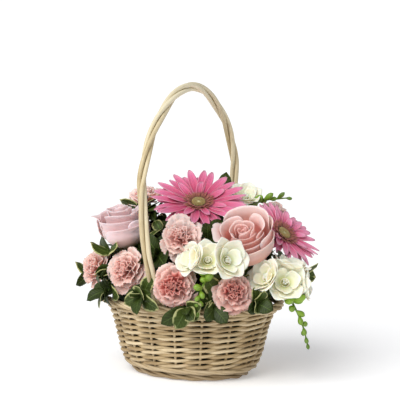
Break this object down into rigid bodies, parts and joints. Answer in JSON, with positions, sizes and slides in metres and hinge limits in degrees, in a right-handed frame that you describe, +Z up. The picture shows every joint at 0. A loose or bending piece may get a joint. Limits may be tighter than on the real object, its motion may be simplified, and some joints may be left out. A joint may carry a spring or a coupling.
{
  "type": "flower basket arrangement",
  "caption": "Oval wicker basket with a tall twisted handle, filled with pink gerberas, roses, spray carnations, white freesias and rounded green foliage.",
  "frame": {"origin": "centre of the flat underside of the basket's base, on the surface that it stands on", "axes": "+Z up, +X along the long axis of the oval basket, +Y along the span of the handle"},
  "size_m": [0.29, 0.2249, 0.3371],
  "materials": {
    "wicker": "bare woven willow, satin",
    "handle_cane": "peeled cane, satin",
    "liner_film": "thin dark plastic tub, satin",
    "floral_foam": "wet cellular foam, matte",
    "gerbera_petal": "fresh petal, soft satin",
    "gerbera_eye": "fine florets, matte",
    "rose_peach": "fresh petal, velvety",
    "rose_lilac": "fresh petal, velvety",
    "carnation_petal": "fresh frilled petal, matte",
    "freesia_petal": "fresh petal, waxy satin",
    "stem_green": "fresh stem, satin",
    "leaf": "fresh leaf, satin with a soft shine"
  },
  "bodies": {
    "root": {"basket_base": "wicker", "basket_foot": "wicker", "basket_wall": "wicker", "basket_rim": "wicker", "handle_rod_1": "handle_cane", "handle_rod_2": "handle_cane", "handle_rod_3": "handle_cane", "liner": "liner_film", "gerbera_top_petals": "gerbera_petal", "gerbera_top_eye": "gerbera_eye", "gerbera_top_stem": "stem_green", "gerbera_right_petals": "gerbera_petal", "gerbera_right_eye": "gerbera_eye", "gerbera_right_stem": "stem_green", "rose_front_petals": "rose_peach", "rose_front_stem": "stem_green", "rose_left_petals": "rose_lilac", "rose_left_stem": "stem_green", "rose_back_petals": "rose_peach", "rose_back_stem": "stem_green", "carnation_front_top_petals": "carnation_petal", "carnation_front_top_stem": "stem_green", "carnation_front_middle_petals": "carnation_petal", "carnation_front_middle_stem": "stem_green", "carnation_front_right_petals": "carnation_petal", "carnation_front_right_stem": "stem_green", "carnation_left_front_petals": "carnation_petal", "carnation_left_front_stem": "stem_green", "carnation_left_end_petals": "carnation_petal", "carnation_left_end_stem": "stem_green", "carnation_left_high_petals": "carnation_petal", "carnation_left_high_stem": "stem_green", "carnation_right_high_petals": "carnation_petal", "carnation_right_high_stem": "stem_green", "carnation_back_left_petals": "carnation_petal", "carnation_back_left_stem": "stem_green", "carnation_back_middle_petals": "carnation_petal", "carnation_back_middle_stem": "stem_green", "freesia_front_florets": "freesia_petal", "freesia_front_stem": "stem_green", "freesia_right_florets": "freesia_petal", "freesia_right_stem": "stem_green", "freesia_back_right_florets": "freesia_petal", "freesia_back_right_stem": "stem_green", "sprig_left_end": "leaf", "sprig_left_middle": "leaf", "sprig_left_front": "leaf", "sprig_front_left": "leaf", "sprig_front_middle": "leaf", "sprig_front_centre": "leaf", "sprig_front_right": "leaf", "sprig_centre_left": "leaf", "sprig_centre_front": "leaf", "sprig_left_high": "leaf", "sprig_right_end": "leaf", "sprig_top_back": "leaf", "sprig_back_left": "leaf", "sprig_back_middle": "leaf", "sprig_back_right": "leaf", "floral_foam": "floral_foam"}
  },
  "joints": []
}
